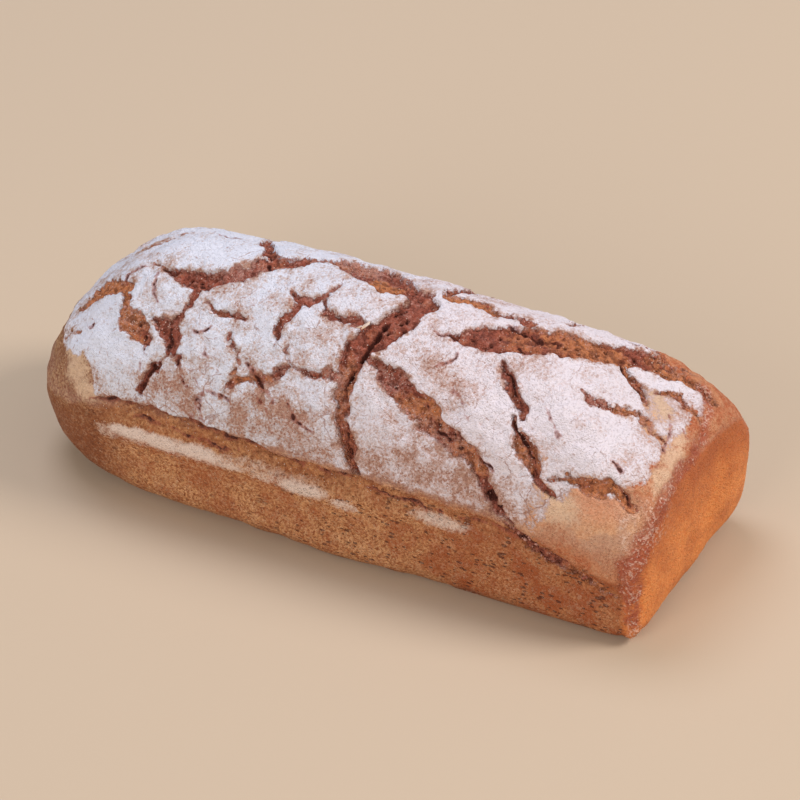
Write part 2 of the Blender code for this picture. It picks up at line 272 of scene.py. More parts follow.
class CrustLook(bpy.types.PropertyGroup):
    """Colours and relief of the crust."""

    flour_white: bpy.props.FloatVectorProperty(
        name="Flour", description="Rye flour lying thick on the crust", size=3,
        subtype="COLOR", default=linear("#ded6de"))
    # painted light: a cooler, bluer thick flour towards the left end stands in for cool light from that side
    flour_in_cool_light: bpy.props.FloatVectorProperty(
        name="Flour, cooler", description="Thick dusted flour towards the left end",
        subtype="COLOR", size=3, min=0.0, max=1.0, default=linear("#d7dae8"))
    # painted light: a cooler thin flour towards the left end stands in for cool light from that side
    film_in_cool_light: bpy.props.FloatVectorProperty(
        name="Flour film, cooler", description="Thin flour towards the left end",
        subtype="COLOR", size=3, min=0.0, max=1.0, default=linear("#bba59f"))
    flour_film: bpy.props.FloatVectorProperty(
        name="Flour film", description="Thin flour that the crust shows through", size=3,
        subtype="COLOR", default=linear("#bd9f97"))
    dusted_brown: bpy.props.FloatVectorProperty(
        name="Dusted crust, dark", description="Dark grain of the crust below the flour", size=3,
        subtype="COLOR", default=linear("#9a6f60"))
    dusted_tan: bpy.props.FloatVectorProperty(
        name="Dusted crust, light", description="Light grain of the crust below the flour", size=3,
        subtype="COLOR", default=linear("#b88e7b"))
    torn_red: bpy.props.FloatVectorProperty(
        name="Torn crumb, reddish", description="Crumb in the deeper tears", size=3,
        subtype="COLOR", default=linear("#97503e"))
    torn_orange: bpy.props.FloatVectorProperty(
        name="Torn crumb, orange", description="Crumb in the broad, shallow tears", size=3,
        subtype="COLOR", default=linear("#c27a4e"))
    # painted shade: this near-black stands for the shade at the bottom of fissures, pits and pores, under the
    # dome's edge and between crumb lumps
    fissure_shade: bpy.props.FloatVectorProperty(
        name="Fissure", description="The bottom of a fissure or a pore", size=3,
        subtype="COLOR", default=linear("#4c2018"))
    wall_tan: bpy.props.FloatVectorProperty(
        name="Tin crust, light", description="Light grain of the tin-baked wall", size=3,
        subtype="COLOR", default=linear("#d29a6a"))
    wall_brown: bpy.props.FloatVectorProperty(
        name="Tin crust, dark", description="Dark grain of the tin-baked wall", size=3,
        subtype="COLOR", default=linear("#8f522c"))
    wall_red: bpy.props.FloatVectorProperty(
        name="Tin crust, red", description="Redder patches of the tin-baked wall", size=3,
        subtype="COLOR", default=linear("#9a5028"))
    # painted shade: the left end's darker brown stands in for the shade on the side away from the key light
    left_shade_brown: bpy.props.FloatVectorProperty(
        name="Left end", description="The darker baked left end", size=3,
        subtype="COLOR", default=linear("#773f20"))
    # painted shade: the darker colour that the recess's hollows get
    recess_shade_brown: bpy.props.FloatVectorProperty(
        name="Recess, dark", description="Hollows of the torn strip under the dome's edge", size=3,
        subtype="COLOR", default=linear("#7c4222"))
    recess_tan: bpy.props.FloatVectorProperty(
        name="Recess, light", description="Lumps of the torn strip under the dome's edge", size=3,
        subtype="COLOR", default=linear("#c28757"))
    end_orange: bpy.props.FloatVectorProperty(
        name="Right end, deep", description="The deeper baked right end", size=3,
        subtype="COLOR", default=linear("#df803f"))
    end_light: bpy.props.FloatVectorProperty(
        name="Right end, light", description="Light grain of the right end", size=3,
        subtype="COLOR", default=linear("#ea9a5a"))
    end_red: bpy.props.FloatVectorProperty(
        name="Right end, red", description="Redder patches of the right end", size=3,
        subtype="COLOR", default=linear("#a4502c"))
    nose_brown: bpy.props.FloatVectorProperty(
        name="Bare corner, dark", description="Dark grain of the bare corner", size=3,
        subtype="COLOR", default=linear("#c68b64"))
    nose_tan: bpy.props.FloatVectorProperty(
        name="Bare corner, light", description="Light grain of the bare corner", size=3,
        subtype="COLOR", default=linear("#e4b48f"))
    nose_pink: bpy.props.FloatVectorProperty(
        name="Bare corner, rosy", description="The rosy patch on the bare corner", size=3,
        subtype="COLOR", default=linear("#cf8c6a"))
    cream: bpy.props.FloatVectorProperty(
        name="Damp flour", description="Flour that baked into a cream skin", size=3,
        subtype="COLOR", default=linear("#dfc1a4"))
    cream_flour: bpy.props.FloatVectorProperty(
        name="Ledge flour", description="Flour caught on the ledge below the dome", size=3,
        subtype="COLOR", default=linear("#e0cdc2"))
    crease_red: bpy.props.FloatVectorProperty(
        name="Crease", description="The ragged glossy crease round the right end", size=3,
        subtype="COLOR", default=linear("#a04f37"))
    crumb_dust: bpy.props.FloatVectorProperty(
        name="Dusted crumb", description="Flour that fell on the torn crumb", size=3,
        subtype="COLOR", default=linear("#bd9085"))
    shoulder_red: bpy.props.FloatVectorProperty(
        name="Right shoulder", description="The bare shoulder above the right end", size=3,
        subtype="COLOR", default=linear("#ba7049"))
    left_tan: bpy.props.FloatVectorProperty(
        name="Left end, light", description="The bare crust above the left end's rim", size=3,
        subtype="COLOR", default=linear("#b08a60"))
    # painted highlights: pale pink flour specks, lightened further to stand in for glossy highlights
    painted_glint_pink: bpy.props.FloatVectorProperty(
        name="Glints", description="Glossy flour specks along the crease", size=3,
        subtype="COLOR", default=linear("#e9c9ba"))
    crumb_count: bpy.props.IntProperty(
        name="Crumbs", description="How many torn crumbs lie in the tears", default=700, min=1)
    grain_count: bpy.props.IntProperty(
        name="Flour grains", description="How many loose grains of flour", default=1500, min=1)
    flake_count: bpy.props.IntProperty(
        name="Flakes", description="How many small flakes of flour skin", default=22, min=1)
    torn_roughness: bpy.props.FloatProperty(
        name="Torn roughness", description="Height of the lumps on the torn crumb",
        default=0.8 * MM, unit="LENGTH")
    swell: bpy.props.FloatProperty(
        name="Swell", description="Height of the crust's broad unevenness",
        default=0.9 * MM, unit="LENGTH")


CRUST_COLOURS = (
    "flour_white", "flour_in_cool_light", "flour_film", "film_in_cool_light", "dusted_brown", "dusted_tan", "torn_red", "torn_orange",
    "fissure_shade", "wall_tan", "wall_brown", "wall_red", "left_shade_brown", "recess_shade_brown",
    "recess_tan", "end_orange", "end_light", "end_red", "nose_brown", "nose_tan",
    "nose_pink", "cream", "cream_flour", "crease_red", "crumb_dust",
    "shoulder_red", "left_tan", "painted_glint_pink")

CRUST_MASKS = (
    "torn", "cracked", "flour", "wall", "streak", "end", "nose", "cream", "crease",
    "orange", "crumb", "dust", "pit", "top_end", "left", "rosy", "painted_sparkle", "crackle",
    "recess", "gap", "bare_left", "rim", "ruddy", "pored")


class StageLook(bpy.types.PropertyGroup):
    """Camera, lights and floor."""

    azimuth: bpy.props.FloatProperty(
        name="Azimuth", description="How far the camera stands round to the right of the front",
        default=math.radians(26.2), subtype="ANGLE")
    elevation: bpy.props.FloatProperty(
        name="Elevation", description="How far the camera stands above the floor's plane",
        default=math.radians(35.6), subtype="ANGLE")
    distance: bpy.props.FloatProperty(
        name="Distance", description="From the camera to the loaf's middle",
        default=1.8, unit="LENGTH")
    lens: bpy.props.FloatProperty(
        name="Lens", description="Focal length in millimetres", default=188.3)
    floor_pale: bpy.props.FloatVectorProperty(
        name="Floor", description="The plain pale floor", size=3,
        subtype="COLOR", default=linear("#c2b09a"))


def smooth_step(value):
    t = np.clip(value, 0.0, 1.0)
    return t * t * (3.0 - 2.0 * t)


def between(left, right, share):
    return left + (right - left) * share


def loaf_surface(box, sizes):
    """Places on the smooth loaf, in mm, for places (s, v, w) on the box of -1 to 1 each way.

    w = 0 is the tin's rim. Above it the section is a superellipse dome, below it a wall
    with a rounded lower edge. The two ends' values blend into each other in the middle.
    """
    s, v, w = np.asarray(box, float).T
    half_length = sizes.half_length / MM
    side = smooth_step(0.5 + s)
    fall = between(sizes.left_fall, sizes.right_fall, side) / MM
    corner = between(LEFT_CORNER_POWER, RIGHT_CORNER_POWER, side)
    power = np.where(w >= 0.0, sizes.dome_power,
                     between(LEFT_BASE_POWER, RIGHT_BASE_POWER, side))
    reach = np.abs(s) * half_length
    core = np.minimum(reach, half_length - fall)
    end = (reach - core) / fall
    plan = (end ** corner + np.abs(v) ** corner) ** (power / corner)
    gauge = (plan + np.abs(w) ** power) ** (1.0 / power)
    qx, qv, qw = end / gauge, v / gauge, w / gauge

    rise = np.where(w >= 0.0, 1.0, np.clip(1.0 + qw * BASE_TRIM, 0.0, 1.0))
    endness = smooth_step(reach / half_length) ** 2
    x = core + fall * qx
    flare = sizes.left_flare / MM
    x = x - (1.0 - side) * flare * (1.0 - rise) ** 2 * smooth_step(x / half_length) ** 2
    y = qv * between(sizes.base_half_width, sizes.rim_half_width, rise) / MM

    edge = np.abs(qv) ** 4
    zone = smooth_step((reach - DROOP_START) / (half_length - DROOP_START)) ** 2
    left_droop, near_droop, far_droop = sizes.corner_droop
    right_droop = np.where(v < 0.0, near_droop, far_droop)
    droop = between(left_droop, right_droop, side) * zone * edge
    left_rise, right_rise = sizes.rim_rise
    rim = sizes.rim_height / MM + between(left_rise, right_rise, side) / MM * endness * (1 - edge)
    rim = rim * (1.0 - droop)
    top = sizes.top_height / MM - sizes.top_sag / MM * s * s
    z = np.where(w >= 0.0, rim + qw * (top - rim), rim * rise)
    skew = side * RIGHT_SKEW * y * endness * rise
    return np.stack((np.copysign(x, s) + skew, y, z), axis=1)


def box_place(along, girth):
    """Place on the box for design coordinates in millimetres."""
    half_length = 150.0
    along, girth = np.asarray(along, float), np.asarray(girth, float)
    over_end = np.maximum(np.abs(along) - half_length, 0.0) / END_DROP
    over_side = np.maximum(np.abs(girth) / HALF_TOP - 1.0, 0.0)
    s = np.clip(along / half_length, -1.0, 1.0)
    v = np.clip(girth / HALF_TOP, -1.0, 1.0)
    return np.stack((s, v, 1.0 - np.maximum(over_end, over_side)), axis=1)


def design_place(box):
    """Design coordinates for places on the box: the reverse of box_place."""
    s, v, w = box.T
    down = 1.0 - w
    on_end = np.abs(s) > 1.0 - EDGE
    on_side = np.abs(v) > 1.0 - EDGE
    along = np.copysign(np.abs(s) * 150.0 + np.where(on_end, down * END_DROP, 0.0), s)
    girth = np.copysign(np.abs(v) * HALF_TOP + np.where(on_side, down * HALF_TOP, 0.0), v)
    return along, girth


def lumps(places, size, seed, octaves=2):
    """Smooth noise, about -1 to 1, with features of the given size in millimetres."""
    shifted = places / size + seed * 17.3
    return np.array([noise.fractal(place, 1.0, 2.0, octaves) for place in shifted.tolist()])


def jagged(places):
    """Places moved about by noise, so that a line drawn among them breaks up in teeth."""
    noise.seed_set(TEETH_SEED)
    moved = places.copy()
    for size, amount in JAGS:
        moved += amount * np.array([noise.noise_vector(place) for place in (places / size).tolist()])
    return moved


def route_samples(route, sizes, step=0.5):
    """Places and half widths along a route, about every half millimetre."""
    route = np.array(route, float)
    parts = []
    for before, after in zip(route, route[1:]):
        count = max(2, int(math.dist(before[:2], after[:2]) / step))
        parts.append(between(before, after, np.arange(count)[:, None] / count))
    rows = np.concatenate(parts + [route[-1:]])
    return loaf_surface(box_place(rows[:, 0], rows[:, 1]), sizes), rows[:, 2]


def inside_route(places, route, sizes, reach=7.0):
    """How far inside a route's band each place is, in millimetres; -reach where it's far."""
    samples, halves = route_samples(route, sizes)
    inside = np.full(len(places), -reach)
    margin = reach + halves.max()
    near = np.all((places > samples.min(0) - margin) & (places < samples.max(0) + margin), axis=1)
    index = np.nonzero(near)[0]
    for block in np.array_split(index, max(1, len(index) // 4000)):
        gaps = np.linalg.norm(places[block, None, :] - samples[None, :, :], axis=2)
        inside[block] = np.maximum((halves - gaps).max(axis=1), -reach)
    return inside


def inside_any(places, routes, sizes):
    """The deepest inside of any route, before the edges are made ragged."""
    best = np.full(len(places), -7.0)
    for depth, route in routes:
        best = np.maximum(best, inside_route(places, route, sizes))
    return best


def cut_rings(mesh, counts):
    """Cut the box into a grid, one axis at a time."""
    for axis, cells in enumerate(counts):
        ring = []
        for edge in mesh.edges:
            span = edge.verts[0].co - edge.verts[1].co
            if abs(span[axis]) > 0.5 * span.length:
                ring.append(edge)
        bmesh.ops.subdivide_edges(mesh, edges=ring, cuts=cells - 1, use_grid_fill=True)


def box_places(mesh):
    return np.array([vert.co[:] for vert in mesh.verts])


def refine(mesh, wanted):
    """Halve the cells whose corners are all wanted."""
    mesh.verts.index_update()
    for face in mesh.faces:
        face.tag = all(wanted[vert.index] for vert in face.verts)
    edges = [edge for edge in mesh.edges if any(face.tag for face in edge.link_faces)]
    bmesh.ops.subdivide_edges(mesh, edges=edges, cuts=1, use_grid_fill=True)


def crust_cage(sizes):
    """The box's grid, finer on the crust and finest round the tears."""
    mesh = bmesh.new()
    bmesh.ops.create_cube(mesh, size=2.0)
    cut_rings(mesh, (LENGTH_CELLS, WIDTH_CELLS, HEIGHT_CELLS))
    box = box_places(mesh)
    far_wall = (box[:, 1] > 1.0 - EDGE) & (box[:, 2] < -0.1)
    refine(mesh, (box[:, 2] > -1.0 + EDGE) & ~far_wall)
    box = box_places(mesh)
    warped = jagged(loaf_surface(box, sizes))
    torn = np.maximum(inside_any(warped, TORN_BANDS, sizes), inside_any(warped, FISSURES, sizes))
    wanted = (torn > -1.4) & (box[:, 2] > -0.3)
    along, girth = design_place(box)
    wanted |= (girth < -75.0) & (girth > -88.0) & (np.abs(along - 5.0) < 130.0)
    refine(mesh, wanted)
    return mesh


def patch(places, centre, radii, sizes):
    """A soft patch round a point of the crust: 1 in its middle, 0 well past its radii.

    The radii are millimetres along the loaf and across it.
    """
    middle = loaf_surface(box_place([centre[0]], [centre[1]]), sizes)[0]
    gap = places - middle
    far = np.hypot(gap[:, 0] / radii[0], np.hypot(gap[:, 1], gap[:, 2]) / radii[1])
    return smooth_step(1.35 - far)


def crumble(places, size):
    """Rounded lumps with sharp valleys between them, as on torn crumb; -1 to about 1."""
    gaps = np.array([noise.voronoi(place)[0][0] for place in (places / size).tolist()])
    return 1.0 - 2.6 * gaps


def crust_fields(box, places, sizes, look):
    """Relief in millimetres and the crust's paint masks at every place."""
    along, girth = design_place(box)
    x, y, z = places.T
    w = box[:, 2]
    warped = jagged(places)
    coarse = lumps(places, 5.0, 1.0)
    fine = lumps(places, 1.9, 2.0)
    broad = lumps(places, 30.0, 4.0)
    middling = lumps(places, 11.0, 5.0)
    crumb = crumble(places, 2.6)

    torn = np.full(len(places), -7.0)
    sunk = np.zeros(len(places))
    for depth, route in TORN_BANDS:
        half = max(point[2] for point in route)
        inside = inside_route(warped, route, sizes) + min(1.0, half / 3.0) * 0.6 * coarse
        torn = np.maximum(torn, inside)
        sunk = np.maximum(sunk, BAND_DEPTH * depth * smooth_step(inside / 0.9 + 0.3))
    cracked = np.full(len(places), -7.0)
    slit = np.zeros(len(places))
    for depth, route in FISSURES:
        inside = inside_route(warped, route, sizes) + 0.25 * fine
        cracked = np.maximum(cracked, inside)
        slit = np.maximum(slit, depth * smooth_step(inside / 0.8 + 0.3))

    floor = smooth_step(torn / 1.2)
    lumpy = look.torn_roughness / MM * (0.7 * crumb + 0.7 * coarse + 0.4 * fine)
    rim_lift = 0.5 * smooth_step((torn + 3.5) / 3.0) * smooth_step(-torn / 0.8)
    pillow = 0.6 * smooth_step((torn + 7.0) / 7.0) * (torn < 0.0)
    holes = crumble(places + 0.8 * coarse[:, None], 5.2)
    pit = smooth_step((holes - 0.42) / 0.16) * smooth_step(torn / 1.5 - 1.3)

    flank = np.abs(box[:, 1]) > 1.0 - EDGE
    front = (y < 0.0) & flank
    drop = -np.abs(girth)
    wave = 1.5 * lumps(np.stack((x, y / 9.0, 0 * x), axis=1), 17.0, 6.0) + 0.5 * coarse
    dome_edge = -76.5 - 3.5 * smooth_step((along + 70.0) / 60.0)
    dome_edge = dome_edge - 2.5 * smooth_step((along - 10.0) / 40.0)
    opened = smooth_step((along + 114.0) / 26.0)
    opened = opened * (1.0 - 0.65 * smooth_step((along - 5.0) / 40.0))
    opened = opened * (1.0 - 0.8 * smooth_step((along - 96.0) / 30.0))
    opened_back = smooth_step((along + 118.0) / 26.0) * (1.0 - smooth_step((along - 92.0) / 30.0))
    opened_back = opened_back * (0.5 + 0.4 * np.cos((along - 30.0) / 34.0))
    dome_edge = np.where(front, dome_edge, -79.0)
    opened = np.where(front, opened, opened_back) * flank
    below = dome_edge - drop - wave
    recess = smooth_step(below / 1.1) * smooth_step(1.0 - below / 13.0) * opened
    ledge = np.where(front, smooth_step(1.0 - np.abs(girth + 91.0 + wave) / 5.0), 0.0)
    ledge = ledge * smooth_step((along + 118.0) / 20.0) * (1 - smooth_step((along - 80) / 30.0))
    hollow = patch(places, (128.0, -92.0), (15.0, 8.0), sizes)
    seam = np.where(flank, 0.0, 0.9 * smooth_step(1.0 - np.abs(z - 49.0) / 5.0))
    seam = seam * (1.0 - smooth_step(x / 150.0)) * smooth_step(2.0 - np.abs(girth) / 60.0)

    corner_gap = np.where(front, 150.0 - along, np.where(x > 60.0, 1.3 * (40.0 + girth), 99.0))
    crest = smooth_step(1.0 - corner_gap / 6.0) * smooth_step((0.2 - w) / 0.2) * (x > 0.0)
    crease = smooth_step(1.0 + (inside_route(warped, CREASE, sizes) + 0.8 * coarse) / 3.6)
    wall = smooth_step((-w + 0.04 + 0.03 * coarse) / 0.10)
    foot = smooth_step(1.0 - z / 9.0) * smooth_step(z / 1.0)
    dents = 1.2 * foot * smooth_step(0.4 + lumps(places, 16.0, 7.0))
    above = smooth_step(z / 6.0)

    relief = look.swell / MM * above * (broad + (0.45 + 0.45 * (w > 0.0)) * middling)
    relief = relief + above * (0.30 * fine + 0.36 * coarse) * (1.0 - 0.6 * wall)
    relief = relief - dents - seam - 2.4 * hollow + 1.0 * ledge
    relief = relief - recess * (RECESS_DEPTH - 0.6 * crumb)
    relief = relief + (1.0 - wall) * (rim_lift - pillow)
    relief = relief - sunk - slit + floor * lumpy - 1.6 * pit
    relief = relief + 1.9 * crest + crease * (0.7 * coarse - 0.9)
    for centre, radii, amount in SWELLS:
        relief = relief + amount * patch(places, centre, radii, sizes)

    flour = 0.70 + 0.08 * broad + 0.07 * middling
    flour = flour - 0.22 * smooth_step((0.45 - w) / 0.2) * (y < 0.0)
    chipped = smooth_step((torn + 2.6) / 2.6) * smooth_step(0.4 + 1.4 * coarse)
    flour = flour - 0.55 * chipped
    for centre, radii, change in FLOUR_PATCHES:
        flour = flour + change * patch(places, centre, radii, sizes)
    nearside = smooth_step((x - 88.0) / 30.0) * (y < 0.0)
    leftside = smooth_step((-x - 98.0) / 20.0)
    flour_edge = 0.05 - 0.3 * flank * (1.0 - nearside) * (1.0 - leftside)
    spill = smooth_step((x - 124.0) / 8.0) * smooth_step((y + 42.0) / 7.0)
    flour_edge = flour_edge + (0.45 - 0.13 * spill) * nearside + 0.40 * leftside
    far_end = smooth_step((x - 122.0) / 14.0) * 0.37
    flour_edge = np.maximum(flour_edge, far_end)
    flour_edge = flour_edge + 0.06 * coarse + 0.03 * fine
    far_bare = smooth_step((x - 108.0 + 5.0 * middling + 3.0 * coarse) / 12.0)
    far_bare = far_bare * smooth_step((y - 23.0 + 1.5 * coarse) / 4.0)
    flour = flour * (1.0 - far_bare * smooth_step((62.0 - y) / 8.0) * (z > 40.0))
    # painted shadow: where a dark line is painted just under the dome's overhanging front edge
    gap = smooth_step(1.0 - np.abs(below - 0.9) / 1.2) * opened
    dome_side = np.where(flank, smooth_step(0.5 - below / 1.4), 1.0)
    flour = flour * np.where(nearside + leftside > 0.5, 1.0, dome_side)
    flour = flour * smooth_step((w - flour_edge) / 0.07)

    level = girth + wave - 0.02 * along + 0.8 * coarse
    streak = smooth_step((-85.6 - level) / 1.8) * smooth_step((level + 94.5) / 5.0)
    streak = np.where(front, 0.42 * streak, 0.0)
    streak = streak * smooth_step((along + 112.0) / 6.0) * (1.0 - smooth_step((along + 10) / 20.0))
    for centre, radii, amount in LEDGE_PATCHES:
        streak = np.maximum(streak, amount * patch(places, centre, radii, sizes))
    streak = streak * np.where(front, smooth_step((-84.5 - level) / 2.0), 1.0)

    end = smooth_step((x - 141.5 + 0.06 * np.abs(y) + 1.2 * coarse) / 4.0)
    end = end * smooth_step((0.12 - w + 0.05 * coarse) / 0.1)
    rim = smooth_step((w + 0.55 + 0.1 * middling) / 0.6)
    ruddy = smooth_step((x - 20.0) / 80.0)
    pored = wall * (0.35 + 0.65 * smooth_step((x + 50.0) / 70.0)) * (1.0 - 0.7 * end)
    top_end = smooth_step((x - 118.0) / 14.0) * smooth_step((0.62 - w) / 0.2) * (1.0 - end)
    top_end = top_end * smooth_step((y + 46.0 + 2.5 * coarse) / 10.0)
    low_nose = smooth_step((x - 96.0) / 16.0) * smooth_step((0.24 - w + 0.05 * coarse) / 0.22)
    top_end = np.maximum(top_end, low_nose * (y < -30.0) * (w > -0.05) * (1.0 - end))
    top_end = np.maximum(top_end, far_bare * (1.0 - end) * (z > 40.0))
    nose = smooth_step((x - 88.0) / 14.0) * (y < 0.0) * (1.0 - wall) * (1.0 - top_end)
    bare_left = leftside * smooth_step((w + 0.5 + 0.15 * coarse) / 1.0)
    left = smooth_step((-x - 84.0) / 30.0) * smooth_step((0.35 - w) / 0.5)
    cream = 0.0 * x
    for centre, radii in CREAM_PATCHES:
        cream = np.maximum(cream, patch(places, centre, radii, sizes))
    rosy = patch(places, (136.0, -62.0), (14.0, 9.0), sizes)
    # painted highlights: where pale glints go round the right end's corner and along its crease
    painted_sparkle = np.maximum(patch(places, (205.0, -30.0), (9.0, 16.0), sizes), 0.8 * crease)
    painted_sparkle = np.maximum(painted_sparkle, 0.9 * smooth_step(1.0 - corner_gap / 7.0) * (z < 62.0) * (x > 0.0))
    dust = 0.12 + 0.25 * smooth_step(1.0 - torn / 1.6)
    for centre, radii, amount in DUSTINGS:
        dust = dust + amount * patch(places, centre, radii, sizes)
    crackle = smooth_step((0.62 - w) / 0.3) * (1.0 - 0.7 * leftside) + 0.35
    crackle = crackle * smooth_step(0.5 + 0.8 * broad) * (1.0 - 0.5 * smooth_step(y / 10.0))
    orange = np.maximum(0.75 * smooth_step((x - 108.0) / 14.0), smooth_step((-x - 84.0) / 12.0))
    for centre, radii, amount in GOLDEN:
        orange = np.maximum(orange, amount * patch(places, centre, radii, sizes))
    fields = {
        "torn": torn, "cracked": cracked, "flour": np.clip(flour, 0.0, 1.2),
        "wall": wall, "streak": streak, "end": end, "nose": nose, "cream": cream,
        "crease": crease, "orange": orange, "crumb": crumb, "dust": dust, "pit": pit,
        "top_end": top_end, "left": left, "rosy": rosy, "painted_sparkle": painted_sparkle,
        "crackle": crackle, "recess": recess, "gap": gap, "bare_left": bare_left,
        "rim": rim, "ruddy": ruddy, "pored": pored,
    }
    return relief, fields


# Size and reach, in millimetres, of the noise that breaks up the tears' outlines
TEETH_SEED = 4
JAGS = ((9.0, 2.4), (3.6, 1.3), (1.7, 0.5))
BAND_DEPTH = 0.85
RECESS_DEPTH = 4.4

# Tears whose crumb baked golden rather than red
GOLDEN = (
    ((104, 8), (34, 14), 1.0),
    ((-10, 14), (20, 12), 0.5),
    ((70, -63), (22, 10), 0.8),
    ((101, -56), (14, 10), 0.9),
    ((-36, -58), (22, 8), 0.7),
    ((12, -70), (10, 10), 0.6),
    ((44, 6), (16, 6), 0.7),
    ((6, -56), (10, 16), 0.7),
    ((44, -52), (18, 10), 0.6),
    ((2, 3), (10, 8), 0.9),
    ((66, -6), (20, 8), 0.2),
    ((128, -58), (20, 7), 0.8),
)

# Where flour fell into the tears: centre as (along, girth), radii along and across, amount
DUSTINGS = (
    ((-58, -8), (26, 9), 0.40),
    ((-12, 12), (16, 9), 0.55),
    ((6, -58), (8, 14), 0.25),
    ((62, -62), (20, 8), 0.25),
    ((22, -37), (12, 9), 0.35),
    ((44, -56), (24, 7), 0.35),
    ((-20, -46), (34, 14), 0.35),
    ((-108, -38), (10, 8), 0.30),
    ((96, -54), (10, 10), 0.30),
    ((140, -10), (26, 16), 0.30),
)

# Thicker and thinner flour: centre as (along, girth), radii along and across, and the change
FLOUR_PATCHES = (
    ((-70, 8), (44, 20), 0.36),       # the white plate behind the ridge band
    ((-122, -46), (24, 22), 0.36),
    ((-85, -26), (10, 8), 0.20),
    ((-9, -32), (17, 14), -0.06),
    ((-50, -46), (10, 9), 0.10),
    ((-34, -68), (44, 14), -0.10),
    ((-20, -62), (18, 10), -0.24),
    ((148, -26), (14, 14), 0.30),
    ((152, 20), (20, 7), 0.20),
    ((168, 3), (11, 8), -0.50),
    ((-70, -62), (9, 8), -0.16),
    ((0, -2), (16, 8), 0.04),
    ((42, -1), (24, 7), 0.20),
    ((-52, -20), (15, 6), -0.12),
    ((34, -66), (8, 10), 0.16),
    ((34, -24), (14, 12), -0.22),
    ((48, -68), (30, 14), -0.14),
    ((22, -50), (7, 14), 0.20),
    ((74, -44), (12, 18), 0.18),
    ((58, -30), (14, 10), -0.04),
    ((118, -34), (26, 26), 0.42),
    ((96, -66), (10, 10), 0.10),
    ((132, -28), (9, 6), -0.34),
    ((108, -20), (7, 4), -0.22),
    ((110, -52), (4, 8), -0.25),
    ((140, 0), (14, 9), 0.12),
    ((96, 24), (60, 14), 0.30),
    ((120, 44), (40, 30), 0.10),
)

LEDGE_PATCHES = (
    ((-92, -88), (13, 5.6), 1.1),
    ((-76, -90), (12, 4.6), 1.1),
    ((-58, -90), (14, 4.2), 1.0),
    ((-42, -91), (10, 3.2), 0.65),
    ((-26, -92), (9, 2.8), 0.5),
    ((-8, -92), (14, 4.2), 0.9),
    ((12, -94), (8, 3.4), 0.6),
    ((57, -89), (15, 3.6), 0.7),
    ((42, 90), (20, 4.4), 0.8),
    ((-24, 91), (15, 3.6), 0.6),
    ((-70, 89), (12, 4.0), 0.8),
)

# Where flour baked into a cream skin
CREAM_PATCHES = (
    ((160, 7), (8, 6)),
    ((170, 2), (9, 8)),
    ((183, -3), (7, 10)),
    ((192, -11), (6, 9)),
    ((195, -20), (5, 9)),
    ((113, -68), (12, 8)),
    ((-137, -57), (9, 11)),
    ((-127, -67), (9, 8)),
    ((-115, -75), (9, 5)),
)

# Broad bulges and hollows of the whole form: centre, radii, and height in millimetres
SWELLS = (
    ((236, 30), (18, 24), 4.0),
    ((180, 44), (16, 14), -1.2),
    ((128, 17), (32, 14), -1.5),
    ((-168, -10), (26, 26), -1.3),
    ((-36, -118), (76, 12), 3.0),
)

# The ragged, glossy crease between the dome and the right end's wall, and down its corner
CREASE = ((178, 28, 0.8), (188, 18, 1.6), (198, 8, 1.4), (206, -2, 1.8), (204, -12, 2.2),
          (205, -20, 3.0), (208, -27, 2.6), (205, -33, 3.4), (206, -40, 3.6), (218, -40, 3.4),
          (232, -40, 3.0), (248, -40, 2.0))


# Node kinds and settings that the materials use over and over
NOISE = "ShaderNodeTexNoise"
CELLS = "ShaderNodeTexVoronoi"
RAMP = "ShaderNodeMapRange"
MATH = "ShaderNodeMath"
MIX = "ShaderNodeMix"
SMOOTH = {"interpolation_type": "SMOOTHSTEP"}
PLUS = {"operation": "ADD"}
TIMES = {"operation": "MULTIPLY"}
TIMES_PLUS = {"operation": "MULTIPLY_ADD"}
PAINT = {"data_type": "RGBA"}


def add(tree, kind, inputs=(), **settings):
    """Add a node with its settings, set or link its inputs, and return its first output.

    The inputs come in the order of the sockets that the node shows, or by name.
    """
    node = tree.nodes.new(kind)
    for name, value in settings.items():
        setattr(node, name, value)
    shown = [socket for socket in node.inputs if socket.enabled]
    named = {socket.name: socket for socket in shown}
    pairs = inputs.items() if isinstance(inputs, dict) else zip((s.name for s in shown), inputs)
    sockets = named if isinstance(inputs, dict) else None
    for number, (key, value) in enumerate(pairs):
        socket = sockets[key] if sockets else shown[number]
        if isinstance(value, bpy.types.NodeSocket):
            tree.links.new(value, socket)
        else:
            socket.default_value = value
    return next((socket for socket in node.outputs if socket.enabled), node)


def per_mm(size):
    """Texture scale, per metre, for a feature of this size in millimetres."""
    return 1.0 / (size * MM)


# Solid noises shared by the crust's patterns: name, size in millimetres, and octaves
PATTERNS = (("speck", 1.3, 2.0), ("dusty", 3.0, 4.0), ("cloud", 12.0, 2.6), ("reach", 9.0, 3.0))


